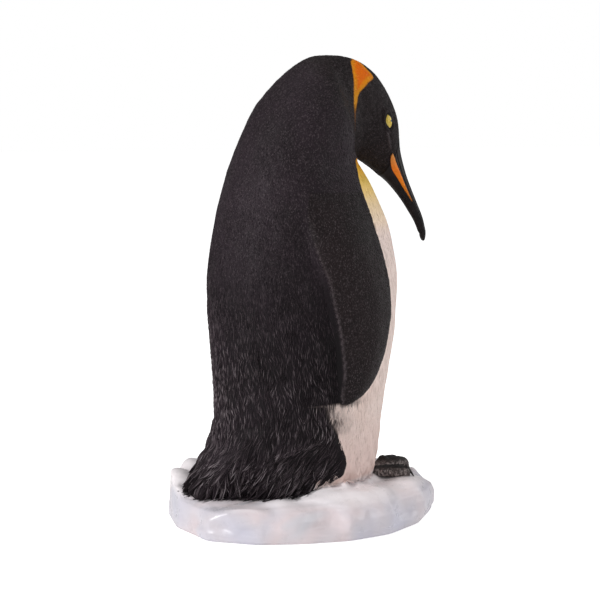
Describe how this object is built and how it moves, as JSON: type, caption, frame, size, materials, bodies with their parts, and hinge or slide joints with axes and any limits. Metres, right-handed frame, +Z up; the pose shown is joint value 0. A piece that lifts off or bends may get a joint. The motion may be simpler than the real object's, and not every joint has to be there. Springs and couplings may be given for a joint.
{
  "type": "king penguin statue",
  "caption": "Life-size cast and painted king penguin statue, standing with its head bowed on a rounded slab of sculpted ice.",
  "frame": {"origin": "centre of the slab's underside", "axes": "+Z up, the bird faces -Y, its right side is at -X"},
  "size_m": [0.395, 0.5066, 0.841],
  "materials": {
    "black_plumage": "satin black paint on cast resin, with orange, yellow and white markings",
    "ice": "gloss pearly white and lavender paint on cast resin",
    "black_horn": "satin black paint",
    "orange_plate": "satin orange paint",
    "eye": "gloss yellow and black paint",
    "foot_skin": "matt dark grey paint"
  },
  "bodies": {
    "root": {"trunk": "black_plumage", "neck": "black_plumage", "head": "black_plumage", "tail": "black_plumage", "flipper_right": "black_plumage", "flipper_left": "black_plumage", "bill_upper": "black_horn", "bill_lower": "black_horn", "bill_plate_right": "orange_plate", "bill_plate_left": "orange_plate", "eye_right": "eye", "eye_left": "eye", "foot_right": "foot_skin", "foot_left": "foot_skin", "claw_right_1": "black_horn", "claw_right_2": "black_horn", "claw_right_3": "black_horn", "claw_left_1": "black_horn", "claw_left_2": "black_horn", "claw_left_3": "black_horn", "ice_slab": "ice"}
  },
  "joints": []
}
